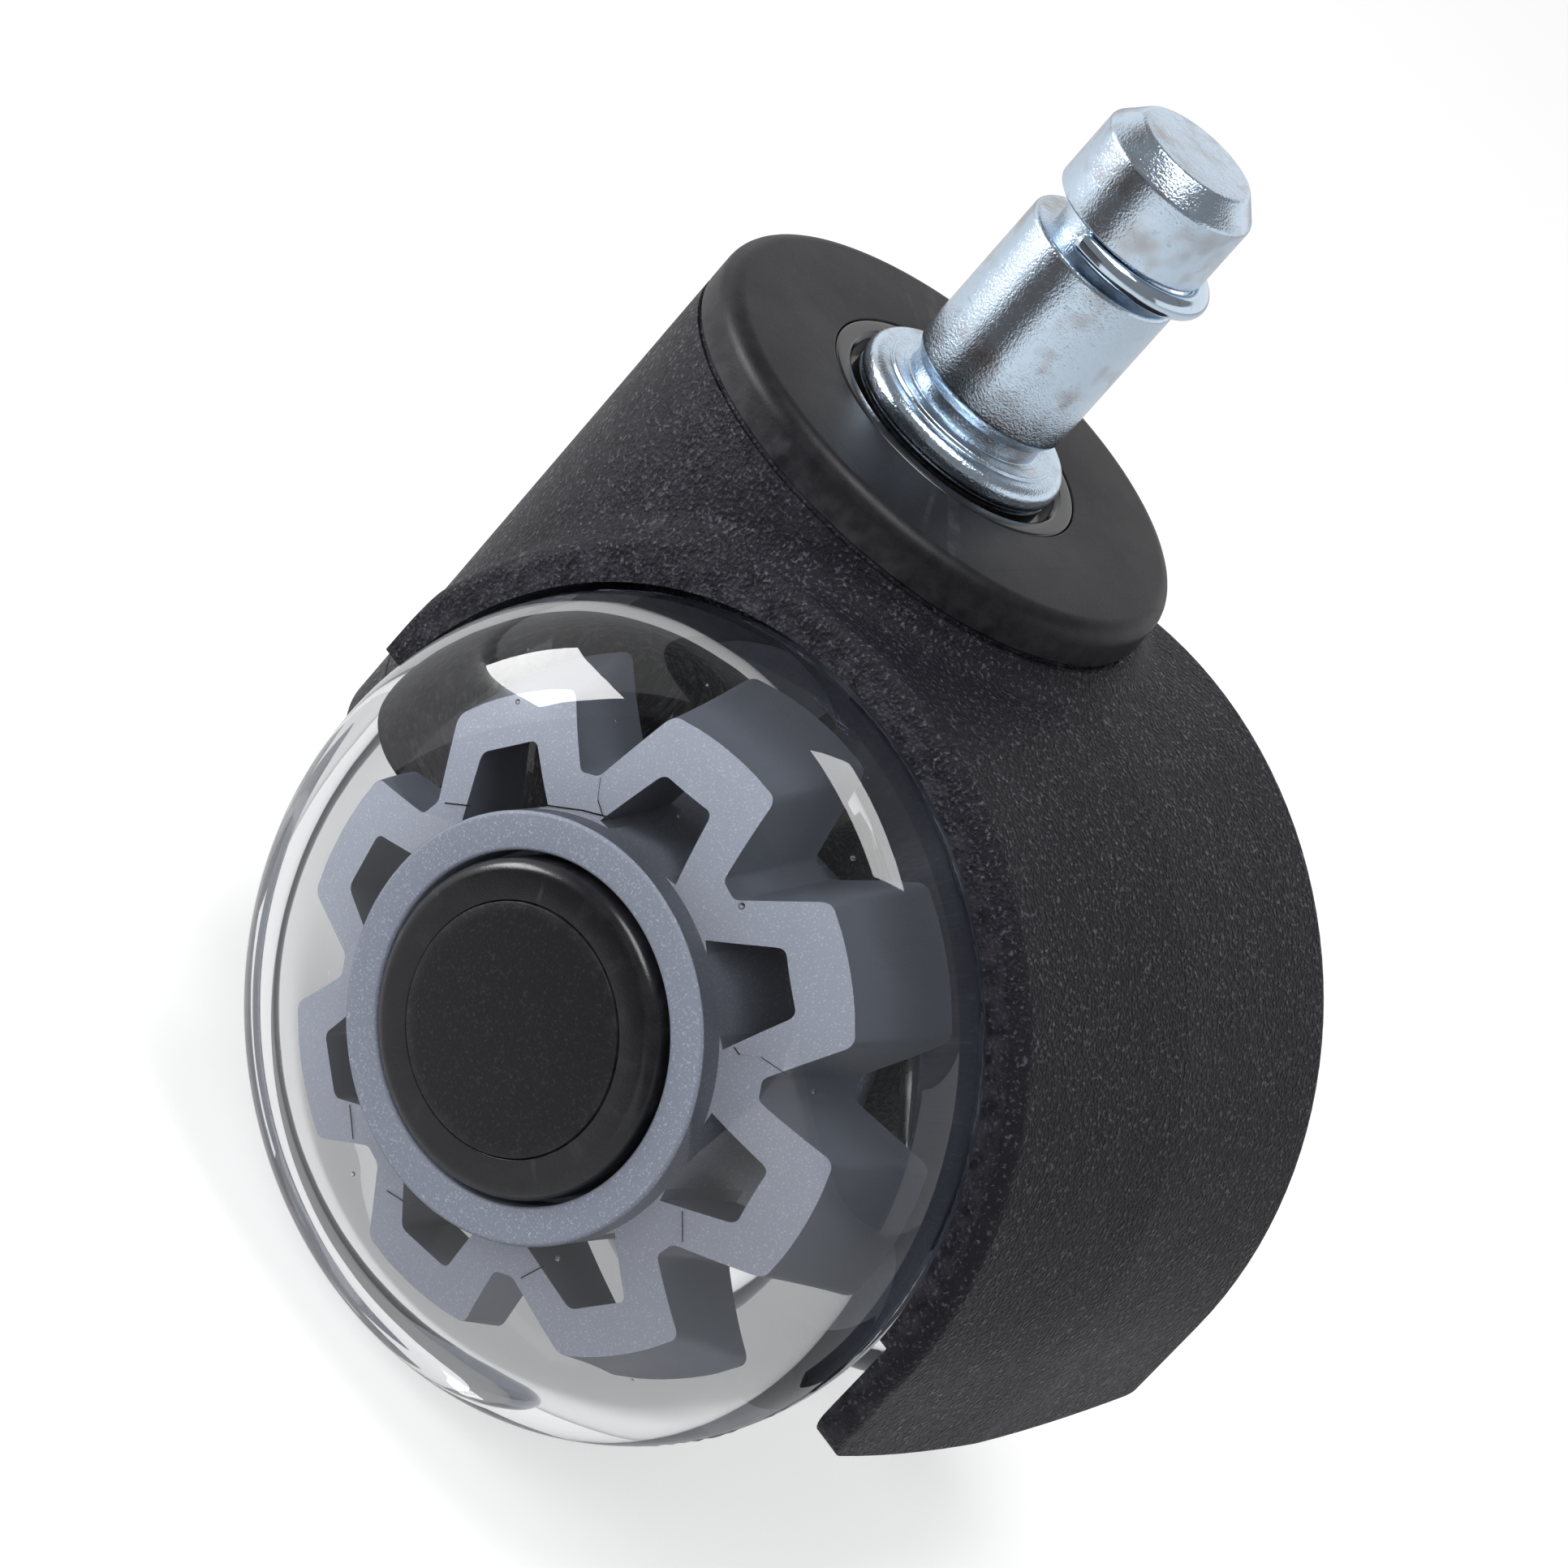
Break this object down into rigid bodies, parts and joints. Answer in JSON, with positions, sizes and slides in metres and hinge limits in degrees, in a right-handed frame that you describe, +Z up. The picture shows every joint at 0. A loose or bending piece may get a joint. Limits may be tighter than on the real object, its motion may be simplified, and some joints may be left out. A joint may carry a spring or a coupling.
{
  "type": "office chair castor",
  "caption": "Swivel castor for an office chair: paired wheels with clear treads on lobed grey cores under a black hood, on a steel push-in stem with a grip ring.",
  "frame": {"origin": "on the stem's axis, at the top of the stem's flange, where the chair base rests", "axes": "+Z up along the stem, the tail of the hood and the axle's offset towards +X, the axle along Y with the right wheel at +Y"},
  "size_m": [0.0643, 0.0598, 0.0843],
  "materials": {
    "zinc_plated_steel": "bright zinc plating, polished",
    "spring_steel": "bright spring steel wire",
    "washer_steel": "plain steel",
    "axle_steel": "ground steel",
    "black_nylon": "fine grained moulding",
    "black_nylon_cap": "smooth satin",
    "black_bush_plastic": "glossy",
    "grey_core_plastic": "fine grained moulding",
    "clear_polyurethane": "clear, glossy",
    "black_hub_plastic": "satin",
    "black_disc_plastic": "coarse grain"
  },
  "bodies": {
    "stem": {"stem": "zinc_plated_steel", "grip_ring": "spring_steel", "stem_clip": "spring_steel"},
    "housing": {"housing": "black_nylon", "boss_cap": "black_nylon_cap", "stem_bush": "black_bush_plastic", "thrust_washer": "washer_steel", "axle": "axle_steel", "right_axle_washer": "washer_steel", "left_axle_washer": "washer_steel", "right_push_clip": "spring_steel", "left_push_clip": "spring_steel"},
    "right_wheel": {"right_wheel_core": "grey_core_plastic", "right_tread": "clear_polyurethane", "right_hub_cap": "black_hub_plastic", "right_cap_disc": "black_disc_plastic"},
    "left_wheel": {"left_wheel_core": "grey_core_plastic", "left_tread": "clear_polyurethane", "left_hub_cap": "black_hub_plastic", "left_cap_disc": "black_disc_plastic"}
  },
  "joints": [
    {"name": "swivel", "type": "hinge", "parent": "stem", "child": "housing", "pos_m": [0, 0, 0], "axis": [0, 0, 1], "continuous": true},
    {"name": "right_wheel_spin", "type": "hinge", "parent": "housing", "child": "right_wheel", "pos_m": [0.0172, 0, -0.0362], "axis": [0, 1, 0], "continuous": true},
    {"name": "left_wheel_spin", "type": "hinge", "parent": "housing", "child": "left_wheel", "pos_m": [0.0172, 0, -0.0362], "axis": [0, 1, 0], "continuous": true}
  ]
}
